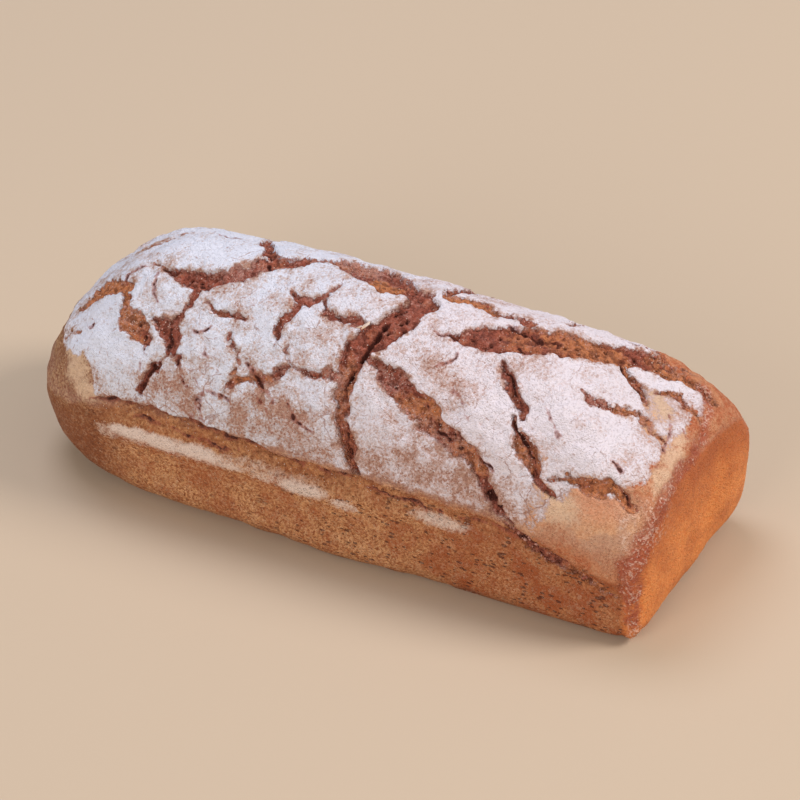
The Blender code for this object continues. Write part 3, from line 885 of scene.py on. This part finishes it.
def crust_material(look):
    """Rye crust: dough torn and baked dry, dusted with coarse flour, browned by the tin below.

    To the eye it is chalky granular white on dull brown, with rough reddish crumb in the
    tears and a finely pored, faintly satin wall.
    """
    material = bpy.data.materials.new("floured rye crust")
    material.use_nodes = True
    tree = material.node_tree
    shader = tree.nodes["Principled BSDF"]
    place = add(tree, "ShaderNodeTexCoord").node.outputs["Object"]
    mask = {}
    for name in CRUST_MASKS:
        mask[name] = add(tree, "ShaderNodeAttribute", attribute_name=name).node.outputs["Fac"]
    colour = {name: (*getattr(look, name), 1.0) for name in CRUST_COLOURS}
    noises = {}
    for name, size, octaves in PATTERNS:
        noises[name] = add(tree, NOISE, {"Vector": place, "Scale": per_mm(size), "Detail": octaves,
                                         "Roughness": 0.65})
    speck, dusty, cloud = noises["speck"], noises["dusty"], noises["cloud"]
    granule = add(tree, CELLS, {"Vector": place, "Scale": per_mm(0.85)})
    grain = granule.node.outputs["Color"]
    tooth = add(tree, RAMP, (dusty, 0.3, 0.7, -0.6, 0.6), **SMOOTH)
    spread = add(tree, RAMP, (speck, 0.35, 0.65, -0.2, 0.3), **SMOOTH)
    spread = add(tree, MATH, (grain, 0.9, spread), **TIMES_PLUS)
    toned = add(tree, RAMP, (cloud, 0.35, 0.65), **SMOOTH)

    # torn crumb: red in the deep tears, browner in the broad ones, with painted shade between its lumps, in its
    # pits and at the feet of the plates
    hue = add(tree, MATH, (toned, 0.7, mask["orange"]), **TIMES_PLUS)
    hue = add(tree, RAMP, (hue, 0.45, 1.25), **SMOOTH)
    lump = add(tree, RAMP, (dusty, 0.3, 0.7, -1.1, 1.1), **SMOOTH)
    lump = add(tree, MATH, (lump, mask["crumb"]), **PLUS)
    # painted shade: the crumb turns dark between its lumps
    hollow = add(tree, RAMP, (lump, 0.1, -1.5, 0.0, 0.6), **SMOOTH)
    # painted shade: the crumb turns dark at the foot of each plate's torn edge
    foot = add(tree, MATH, (mask["torn"], tooth), **PLUS)
    foot = add(tree, RAMP, (foot, 1.2, 0.2, 0.0, 0.36), **SMOOTH)
    fallen = add(tree, RAMP, (dusty, 0.35, 0.65, -0.72, -0.12), **SMOOTH)
    fallen = add(tree, MATH, (grain, 0.84, fallen), **TIMES_PLUS)
    fallen = add(tree, MATH, (fallen, mask["dust"]), **PLUS)
    fallen = add(tree, RAMP, (fallen, 0.15, 1.1, 0.0, 0.8), **SMOOTH)
    olive = add(tree, MATH, (mask["left"], 0.5), **TIMES)
    # painted shade: the crumb turns dark in its pits
    pit_shade = add(tree, MATH, (mask["pit"], 0.85), **TIMES)
    crumb = colour["torn_red"]
    for share, over in ((hue, "torn_orange"), (olive, "left_tan"), (hollow, "fissure_shade"),
                        (foot, "fissure_shade"), (fallen, "crumb_dust"), (pit_shade, "fissure_shade")):
        crumb = add(tree, MIX, (share, crumb, colour[over]), **PAINT)

    # tin-baked wall, with painted shade in its pores and towards the left end
    flat = add(tree, "ShaderNodeMapping", {"Vector": place, "Scale": (0.55, 1.0, 1.25)})
    cells = add(tree, CELLS, {"Vector": flat, "Scale": per_mm(2.2)})
    reach = add(tree, RAMP, (noises["reach"], 0.38, 0.66, 0.02, 0.38), **SMOOTH)
    pore = add(tree, MATH, (reach, cells), operation="SUBTRACT")
    pore = add(tree, RAMP, (pore, -0.05, 0.08), **SMOOTH)
    pore = add(tree, MATH, (pore, mask["pored"]), **TIMES)
    # painted shade: the pores are darkened, near-black on the wall and redder on the right end
    pore_shade = add(tree, MATH, (pore, 0.75), **TIMES)
    ruddy = add(tree, RAMP, (cloud, 0.40, 0.66, 0.0, 0.65), **SMOOTH)
    ruddy = add(tree, MATH, (mask["ruddy"], 0.55, ruddy), **TIMES_PLUS)
    bran = add(tree, RAMP, (granule, 0.17, 0.10, 0.0, 0.55), **SMOOTH)
    # painted shade: the wall turns darker towards the left end
    shade = add(tree, MIX, (spread, colour["left_shade_brown"], colour["wall_brown"]), **PAINT)
    wall = add(tree, MIX, (spread, colour["wall_brown"], colour["wall_tan"]), **PAINT)
    for share, over in ((ruddy, colour["wall_red"]), (mask["left"], shade),
                        (pore_shade, colour["fissure_shade"]), (bran, colour["nose_tan"])):
        wall = add(tree, MIX, (share, wall, over), **PAINT)

    # the end that stood against the tin: oranger, and redder towards its rim, with painted shade in its pores
    singed = add(tree, RAMP, (cloud, 0.40, 0.70, 0.0, 0.4), **SMOOTH)
    rim = add(tree, MATH, (mask["rim"], 0.7), **TIMES)
    baked = add(tree, MIX, (spread, colour["end_orange"], colour["end_light"]), **PAINT)
    for share, over in ((singed, "end_red"), (rim, "end_red"), (pore_shade, "torn_red")):
        baked = add(tree, MIX, (share, baked, colour[over]), **PAINT)

    # bare and thinly dusted crust between them
    half = add(tree, MATH, (spread, 0.85, 0.1), **TIMES_PLUS)
    pink = add(tree, MATH, (mask["rosy"], 0.7), **TIMES)
    bare = add(tree, MIX, (half, colour["nose_brown"], colour["nose_tan"]), **PAINT)
    mellow = add(tree, RAMP, (cloud, 0.40, 0.60, 0.0, 0.6), **SMOOTH)
    bare = add(tree, MIX, (mellow, bare, colour["dusted_tan"]), **PAINT)
    bare = add(tree, MIX, (pink, bare, colour["nose_pink"]), **PAINT)
    shoulder = add(tree, MIX, (half, colour["end_red"], colour["shoulder_red"]), **PAINT)
    shoulder = add(tree, MIX, (mellow, shoulder, colour["nose_brown"]), **PAINT)
    creamy = add(tree, RAMP, (grain, 0.1, 0.9, -0.2, 0.2), **SMOOTH)
    creamy = add(tree, MATH, (tooth, 0.3, creamy), **TIMES_PLUS)
    creamy = add(tree, MATH, (creamy, mask["cream"]), **PLUS)
    creamy = add(tree, RAMP, (creamy, -0.1, 1.1, 0.0, 0.75), **SMOOTH)
    browned = add(tree, RAMP, (cloud, 0.35, 0.65, 0.1, 0.7), **SMOOTH)
    # the bare crust above the left end's rim, its dark grain being painted shade
    tanned = add(tree, MIX, (spread, colour["left_shade_brown"], colour["left_tan"]), **PAINT)
    tanned = add(tree, MIX, (browned, tanned, colour["left_shade_brown"]), **PAINT)
    crust = add(tree, MIX, (spread, colour["dusted_brown"], colour["dusted_tan"]), **PAINT)
    for share, over in ((mask["nose"], bare), (mask["top_end"], shoulder), (mask["wall"], wall),
                        (mask["bare_left"], tanned), (creamy, colour["cream"]),
                        (mask["end"], baked)):
        crust = add(tree, MIX, (share, crust, over), **PAINT)

    # flour: a thin pinkish film first, then white heaps, both broken up by the grains
    mottle = add(tree, RAMP, (cloud, 0.3, 0.7, -0.5, 0.14), **SMOOTH)
    for pattern, weight in ((speck, 0.8), (dusty, 0.3), (grain, 0.6)):
        mottle = add(tree, MATH, (pattern, weight, mottle), **TIMES_PLUS)
    mottle = add(tree, MATH, (mottle, -0.68), **PLUS)
    edged = add(tree, RAMP, (mask["flour"], 0.0, 0.3), **SMOOTH)
    cover = add(tree, MATH, (mottle, edged, mask["flour"]), **TIMES_PLUS)
    film = add(tree, RAMP, (cover, 0.02, 0.40), **SMOOTH)
    heaped = add(tree, RAMP, (cover, 0.20, 0.95), **SMOOTH)
    fleck = add(tree, RAMP, (granule, 0.20, 0.10), **SMOOTH)
    fleck_where = add(tree, RAMP, (dusty, 0.50, 0.62, 0.0, 0.7), **SMOOTH)
    fleck = add(tree, MATH, (fleck, fleck_where), **TIMES)
    fleck = add(tree, MATH, (fleck, film), **TIMES)
    caked = add(tree, RAMP, (dusty, 0.3, 0.7, -0.36, -0.10), **SMOOTH)
    caked = add(tree, MATH, (grain, 0.4, caked), **TIMES_PLUS)
    caked = add(tree, MATH, (caked, mask["streak"]), **PLUS)
    caked = add(tree, RAMP, (caked, 0.0, 0.9, 0.0, 0.92), **SMOOTH)
    streaked = add(tree, RAMP, (mask["streak"], 0.0, 0.25), **SMOOTH)
    caked = add(tree, MATH, (caked, streaked), **TIMES)

    # hairline crackle in the dried flour skin
    bent = add(tree, NOISE, {"Vector": place, "Scale": per_mm(7.0), "Detail": 3.0})
    bent = add(tree, "ShaderNodeVectorMath", {"Vector": bent.node.outputs["Color"],
                                              "Scale": 7.0 * MM}, operation="SCALE")
    bent = add(tree, "ShaderNodeVectorMath", (bent, place), **PLUS)
    plates = add(tree, CELLS, {"Vector": bent, "Scale": per_mm(11.0)}, feature="DISTANCE_TO_EDGE")
    hairline = add(tree, RAMP, (plates, 0.035, 0.010, 0.0, 0.7), **SMOOTH)
    dried = add(tree, RAMP, (mask["flour"], 0.3, 0.5), **SMOOTH)
    crackled = add(tree, MATH, (mask["crackle"], tooth), **PLUS)
    crackled = add(tree, RAMP, (crackled, 0.1, 0.9), **SMOOTH)
    for where in (dried, crackled):
        hairline = add(tree, MATH, (hairline, where), **TIMES)
    # painted light: the flour and its film turn bluer towards the left end, standing in for cool light
    along = add(tree, "ShaderNodeSeparateXYZ", (place,))
    cool_light = add(tree, RAMP, (along, 0.06, -0.05), **SMOOTH)
    thin = add(tree, MIX, (cool_light, colour["flour_film"], colour["film_in_cool_light"]), **PAINT)
    thick = add(tree, MIX, (cool_light, colour["flour_white"], colour["flour_in_cool_light"]), **PAINT)
    for share, over in ((film, thin), (heaped, thick), (fleck, colour["dusted_brown"]),
                        (caked, colour["cream_flour"]), (hairline, colour["dusted_brown"])):
        crust = add(tree, MIX, (share, crust, over), **PAINT)

    # the torn bands, the recess and the fissures cut through it, with painted shade in the recess's hollows, in the
    # gap under the dome's edge and in the fissures, and painted highlights along the crease
    opened = add(tree, MATH, (mask["torn"], tooth), **PLUS)
    opened = add(tree, RAMP, (opened, -0.35, 0.45), **SMOOTH)
    # painted shade: the recess is dark in its hollows and light on its lumps
    layer = add(tree, RAMP, (lump, 1.2, -1.2), **SMOOTH)
    recess_shaded = add(tree, MIX, (layer, colour["recess_tan"], colour["recess_shade_brown"]), **PAINT)
    sunk = add(tree, MATH, (mask["recess"], 0.9), **TIMES)
    # painted shadow in the gap under the dome's edge
    gap = add(tree, RAMP, (dusty, 0.35, 0.6, 0.9, 0.5), **SMOOTH)
    gap = add(tree, MATH, (gap, mask["gap"]), **TIMES)
    split = add(tree, MATH, (tooth, 0.5, mask["cracked"]), **TIMES_PLUS)
    split_rim = add(tree, RAMP, (split, -0.9, -0.2, 0.0, 0.6), **SMOOTH)
    # painted shade: the inside of each fissure turns near-black
    split = add(tree, RAMP, (split, -0.25, 0.3, 0.0, 0.95), **SMOOTH)
    creased = add(tree, RAMP, (dusty, 0.35, 0.6, 0.45, 0.95), **SMOOTH)
    creased = add(tree, MATH, (creased, mask["crease"]), **TIMES)
    # painted highlights: pale pink glints on flour specks along the crease and corner; the lower roughness there is
    # real gloss
    shiny = add(tree, MATH, (cloud, 0.7, speck), **TIMES_PLUS)
    shiny = add(tree, RAMP, (shiny, 0.86, 1.10), **SMOOTH)
    painted_glint = add(tree, RAMP, (mask["painted_sparkle"], 0.1, 0.8), **SMOOTH)
    painted_glint = add(tree, MATH, (painted_glint, shiny), **TIMES)
    painted_glint_share = add(tree, MATH, (painted_glint, 0.6), **TIMES)
    skin = crust
    for share, over in ((opened, crumb), (sunk, recess_shaded), (gap, colour["fissure_shade"]),
                        (split_rim, colour["torn_red"]), (split, colour["fissure_shade"]),
                        (creased, colour["crease_red"]), (painted_glint_share, colour["painted_glint_pink"])):
        skin = add(tree, MIX, (share, skin, over), **PAINT)
    tree.links.new(skin, shader.inputs["Base Color"])

    rough = add(tree, RAMP, (film, 0.0, 1.0, 0.62, 0.95), **SMOOTH)
    rough = add(tree, MATH, (painted_glint, -0.3, rough), **TIMES_PLUS)
    rough = add(tree, MATH, (mask["crease"], -0.12, rough), **TIMES_PLUS)
    tree.links.new(rough, shader.inputs["Roughness"])
    shader.inputs["Specular IOR Level"].default_value = 0.35

    # relief too fine for the mesh: flour grains, crumb and pores
    height = add(tree, RAMP, (granule, 0.0, 0.6, 0.5, 0.0), **SMOOTH)
    height = add(tree, MATH, (height, speck), **PLUS)
    coarser = add(tree, RAMP, (opened, 0.0, 1.0, 1.0, 1.8), **SMOOTH)
    height = add(tree, MATH, (height, coarser, dusty), **TIMES_PLUS)
    height = add(tree, MATH, (pore, -1.0, height), **TIMES_PLUS)
    bump = add(tree, "ShaderNodeBump", {"Height": height, "Strength": 0.9, "Distance": 0.75 * MM})
    tree.links.new(bump, shader.inputs["Normal"])
    return material


def link_piece(name, mesh, material):
    """Put a finished mesh in the scene as a piece that rides on the loaf's body."""
    mesh.materials.append(material)
    piece = bpy.data.objects.new(name, mesh)
    bpy.context.scene.collection.objects.link(piece)
    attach(piece, BODY)
    return piece


def frame_shift(places):
    """Move from the form's own axes to the frame's, whose origin is under the box's middle."""
    low, high = CAD_BOX
    middle = 0.5 * (places.min(0) + places.max(0))
    return np.array((0.5 * (low.x + high.x) / MM - middle[0],
                     0.5 * (low.y + high.y) / MM - middle[1], 0.0))


class LOAF_OT_crust(bpy.types.Operator):
    """Make the whole loaf: moulded walls, dome, tears and flour."""

    bl_idname = "loaf.crust"
    bl_label = "Bake the crust"

    def execute(self, context):
        sizes, look = context.scene.loaf_sizes, context.scene.crust_look
        cage = crust_cage(sizes)
        box = box_places(cage)
        mesh = bpy.data.meshes.new("loaf_crust")
        cage.to_mesh(mesh)
        cage.free()
        places = loaf_surface(box, sizes)
        mesh.vertices.foreach_set("co", places.ravel())
        mesh.update()
        normals = np.empty(len(box) * 3)
        mesh.vertex_normals.foreach_get("vector", normals)
        relief, fields = crust_fields(box, places, sizes, look)
        shaped = places + normals.reshape(-1, 3) * relief[:, None]
        shaped[:, 2] = np.maximum(shaped[:, 2], 0.0)
        shaped = (shaped + frame_shift(places)) * MM
        mesh.vertices.foreach_set("co", shaped.ravel())
        for name, values in fields.items():
            layer = mesh.attributes.new(name, "FLOAT", "POINT")
            layer.data.foreach_set("value", np.asarray(values, float))
        mesh.shade_smooth()
        mesh.update()
        piece = link_piece("loaf_crust", mesh, crust_material(look))
        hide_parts("loaf")
        return {"FINISHED"}


def crust_sites(weigh, count, draw):
    """Random points of the baked crust: places in metres, and turns that lay +Z outwards.

    The weights come from the crust's masks, by name, and say how likely each point is.
    """
    mesh = bpy.data.objects["loaf_crust"].data
    masks = {}
    for name in CRUST_MASKS:
        masks[name] = np.empty(len(mesh.vertices))
        mesh.attributes[name].data.foreach_get("value", masks[name])
    chosen = draw.choices(range(len(mesh.vertices)), np.maximum(weigh(masks), 0.0), k=count)
    for index in chosen:
        vert = mesh.vertices[index]
        spin = Quaternion((0.0, 0.0, 1.0), draw.uniform(0.0, math.tau))
        yield vert.co.copy(), vert.normal.to_track_quat("Z", "Y") @ spin


def lay_nuggets(mesh, spots, draw):
    """Rough grains: one small ball for each spot, dented, squashed and laid in its place."""
    ball = bmesh.new()
    bmesh.ops.create_icosphere(ball, subdivisions=1, radius=1.0)
    corners = len(ball.verts)
    kept = bpy.data.meshes.new("ball")
    ball.to_mesh(kept)
    ball.free()
    for _ in spots:
        mesh.from_mesh(kept)
    bpy.data.meshes.remove(kept)
    verts = list(mesh.verts)
    for number, (place, turn, radii) in enumerate(spots):
        for vert in verts[number * corners:(number + 1) * corners]:
            dented = vert.co * draw.uniform(0.75, 1.15)
            vert.co = place + turn @ (dented * radii)


def add_flake(mesh, place, turn, length, width, draw):
    """One curled flake of dried flour skin, with a ragged outline and a real thickness."""
    verts = bmesh.ops.create_grid(mesh, x_segments=4, y_segments=2, size=0.5)["verts"]
    for vert in verts:
        x, y, _ = vert.co * draw.uniform(0.84, 1.16)
        curl = FLAKE_CURL * length * (x * x + 0.25 * x) + FLAKE_LIFT * MM
        vert.co = place + turn @ Vector((x * length, y * width * (1.0 - abs(x)), curl))
    faces = list(dict.fromkeys(face for vert in verts for face in vert.link_faces))
    bmesh.ops.recalc_face_normals(mesh, faces=faces)
    bmesh.ops.solidify(mesh, geom=faces, thickness=FLAKE_THICKNESS * MM)


def scattered_piece(name, mesh, material):
    """Close up a scattered piece's joined mesh and put it in the scene."""
    bmesh.ops.recalc_face_normals(mesh, faces=mesh.faces)
    data = bpy.data.meshes.new(name)
    mesh.to_mesh(data)
    mesh.free()
    data.shade_smooth()
    return link_piece(name, data, material)


def speckled_material(name, low, high, size, rough):
    """A dry, matt stuff whose tone changes from grain to grain; gives crumbly, unlit edges."""
    material = bpy.data.materials.new(name)
    material.use_nodes = True
    tree = material.node_tree
    shader = tree.nodes["Principled BSDF"]
    place = add(tree, "ShaderNodeTexCoord").node.outputs["Object"]
    tone = add(tree, NOISE, {"Vector": place, "Scale": per_mm(size), "Detail": 2.0})
    tone = add(tree, RAMP, (tone, 0.35, 0.65), **SMOOTH)
    tone = add(tree, MIX, (tone, (*low, 1.0), (*high, 1.0)), **PAINT)
    tree.links.new(tone, shader.inputs["Base Color"])
    shader.inputs["Roughness"].default_value = rough
    shader.inputs["Specular IOR Level"].default_value = 0.3
    return material


FLAKE_CURL = 0.25           # rise of a flake's tips, as a share of its length
FLAKE_LIFT = 0.15           # millimetres between a flake's middle and the crust
FLAKE_THICKNESS = 0.4       # millimetres
PALE_FLAKE = ((3.0, -18.0), 7.5, 3.4)      # the one large flake: its place, length and width
PALE_FLAKE_HEADING = Vector((0.9, 0.44, 0.0))


class LOAF_OT_crumbs(bpy.types.Operator):
    """Scatter the torn crumbs that lie along the feet of the crust's plates."""

    bl_idname = "loaf.crumbs"
    bl_label = "Scatter the crumbs"

    def execute(self, context):
        look = context.scene.crust_look
        draw = random.Random(11)
        mesh = bmesh.new()

        def weigh(masks):
            torn = masks["torn"]
            return (torn > 0.1) * (torn < 2.2) * (2.4 - torn) + 0.8 * (masks["gap"] > 0.4)

        spots = []
        for place, turn in crust_sites(weigh, look.crumb_count, draw):
            size = 0.3 + 0.65 * draw.random() ** 2.5
            radii = Vector((size * draw.uniform(0.9, 1.5), size, size * 0.75)) * MM
            spots.append((place, turn, radii))
        lay_nuggets(mesh, spots, draw)
        material = speckled_material("torn rye crumb", look.torn_red, look.crumb_dust, 5.0, 0.85)
        scattered_piece("torn_crumbs", mesh, material)
        return {"FINISHED"}


class LOAF_OT_grains(bpy.types.Operator):
    """Scatter the loose flour grains in the tears and on the ledges."""

    bl_idname = "loaf.grains"
    bl_label = "Scatter the flour grains"

    def execute(self, context):
        look = context.scene.crust_look
        draw = random.Random(23)
        mesh = bmesh.new()

        def weigh(masks):
            fallen = (masks["torn"] > 0.2) * (0.05 + masks["dust"])
            return fallen + 1.6 * masks["streak"] + 0.3 * masks["recess"] * (masks["gap"] < 0.3)

        spots = []
        for place, turn in crust_sites(weigh, look.grain_count, draw):
            size = draw.uniform(0.12, 0.28)
            radii = Vector((size * draw.uniform(1.0, 1.4), size, size * 0.6)) * MM
            spots.append((place, turn, radii))
        lay_nuggets(mesh, spots, draw)
        material = speckled_material("coarse rye flour", look.flour_film, look.cream_flour, 4.0, 0.95)
        scattered_piece("flour_grains", mesh, material)
        return {"FINISHED"}


class LOAF_OT_flakes(bpy.types.Operator):
    """Lay the few curled flakes at the plates' edges, and the one large pale flake."""

    bl_idname = "loaf.flakes"
    bl_label = "Lay the flakes"

    def execute(self, context):
        look = context.scene.crust_look
        crust = bpy.data.objects["loaf_crust"].data
        draw = random.Random(5)
        mesh = bmesh.new()

        def weigh(masks):
            return (masks["torn"] > -0.8) * (masks["torn"] < 0.2) * (masks["flour"] > 0.3)

        for place, turn in crust_sites(weigh, look.flake_count, draw):
            length = draw.uniform(1.4, 2.8) * MM
            add_flake(mesh, place, turn, length, length * draw.uniform(0.6, 1.0), draw)
        material = speckled_material("caked flour", look.flour_film, look.flour_white, 2.0, 0.95)
        scattered_piece("crust_flakes", mesh, material)

        mesh = bmesh.new()
        spot, length, width = PALE_FLAKE
        wanted = loaf_surface(box_place([spot[0]], [spot[1]]), context.scene.loaf_sizes)[0] * MM
        nearest = min(crust.vertices, key=lambda vert: (vert.co - Vector(wanted)).length_squared)
        normal = nearest.normal
        heading = PALE_FLAKE_HEADING - normal * normal.dot(PALE_FLAKE_HEADING)
        turn = heading.to_track_quat("X", "Z")
        add_flake(mesh, nearest.co, turn, length * MM, width * MM, draw)
        material = speckled_material("dried dough skin", look.cream, look.cream_flour, 2.0, 0.9)
        scattered_piece("pale_flake", mesh, material)
        return {"FINISHED"}


class LOAF_OT_stage(bpy.types.Operator):
    """Make the floor, the soft lights and the camera."""

    bl_idname = "loaf.stage"
    bl_label = "Set the stage"

    def execute(self, context):
        look = context.scene.stage_look
        floor_mesh = bmesh.new()
        bmesh.ops.create_grid(floor_mesh, x_segments=1, y_segments=1, size=6.0)
        mesh = bpy.data.meshes.new("studio_floor")
        floor_mesh.to_mesh(mesh)
        floor_mesh.free()
        material = bpy.data.materials.new("matt studio floor")
        material.use_nodes = True
        shader = material.node_tree.nodes["Principled BSDF"]
        shader.inputs["Base Color"].default_value = (*look.floor_pale, 1.0)
        shader.inputs["Roughness"].default_value = 0.9
        mesh.materials.append(material)
        floor = bpy.data.objects.new("studio_floor", mesh)
        context.scene.collection.objects.link(floor)

        middle = Vector((0.0, 0.0, 45.0 * MM))
        for name, spot, size, power, tint in STAGE_LIGHTS:
            lamp = bpy.data.lights.new(name, "AREA")
            lamp.shape = "DISK"
            lamp.size = size
            lamp.energy = power
            lamp.color = linear(tint)
            light = bpy.data.objects.new(name, lamp)
            light.location = spot
            light.rotation_euler = (middle - light.location).to_track_quat("-Z", "Y").to_euler()
            context.scene.collection.objects.link(light)
        world = bpy.data.worlds.new("soft room")
        world.use_nodes = True
        background = world.node_tree.nodes["Background"]
        background.inputs["Color"].default_value = (*linear("#f5f0e9"), 1.0)
        background.inputs["Strength"].default_value = 0.40
        context.scene.world = world
        context.scene.view_settings.view_transform = "Standard"

        camera_data = bpy.data.cameras.new("camera")
        camera_data.lens = look.lens
        camera_data.sensor_width = 36.0
        camera_data.shift_x = 0.029
        camera_data.shift_y = 0.007
        camera_data.clip_end = 20.0
        camera = bpy.data.objects.new("camera", camera_data)
        a, e = look.azimuth, look.elevation
        back = Vector((math.sin(a) * math.cos(e), -math.cos(a) * math.cos(e), math.sin(e)))
        camera.location = middle + back * look.distance
        camera.rotation_euler = (-back).to_track_quat("-Z", "Y").to_euler()
        context.scene.collection.objects.link(camera)
        context.scene.camera = camera
        return {"FINISHED"}


# Soft lights: name, place, size across, power and tint
STAGE_LIGHTS = (
    ("overhead_light", (-0.7, 0.5, 2.0), 1.2, 20.0, "#eaeeff"),
    ("key_light", (1.5, 0.6, 1.5), 0.9, 30.0, "#fff5ee"),
    ("front_fill", (-0.2, -2.0, 0.9), 1.2, 22.0, "#fff6f0"),
)


class LOAF_PT_panel(bpy.types.Panel):
    """Sizes, colours and operators of the loaf."""

    bl_idname = "LOAF_PT_panel"
    bl_label = "Rye bread loaf"
    bl_space_type = "VIEW_3D"
    bl_region_type = "UI"
    bl_category = "Loaf"

    def draw(self, context):
        for group in (context.scene.loaf_sizes, context.scene.crust_look, context.scene.stage_look):
            box = self.layout.box()
            for name in group.__annotations__:
                box.prop(group, name)
        for operator in OPERATORS:
            self.layout.operator(operator.bl_idname)


OPERATORS = (LOAF_OT_crust, LOAF_OT_crumbs, LOAF_OT_grains, LOAF_OT_flakes, LOAF_OT_stage)
GROUPS = {"loaf_sizes": LoafSizes, "crust_look": CrustLook, "stage_look": StageLook}
CLASSES = (*GROUPS.values(), *OPERATORS, LOAF_PT_panel)


def register():
    for item in CLASSES:
        bpy.utils.register_class(item)
    for name, group in GROUPS.items():
        setattr(bpy.types.Scene, name, bpy.props.PointerProperty(type=group))


def unregister():
    for name in GROUPS:
        delattr(bpy.types.Scene, name)
    for item in reversed(CLASSES):
        bpy.utils.unregister_class(item)


def main():
    register()
    bpy.ops.loaf.crust()
    bpy.ops.loaf.crumbs()
    bpy.ops.loaf.grains()
    bpy.ops.loaf.flakes()
    bpy.ops.loaf.stage()


if __name__ == "__main__":
    main()
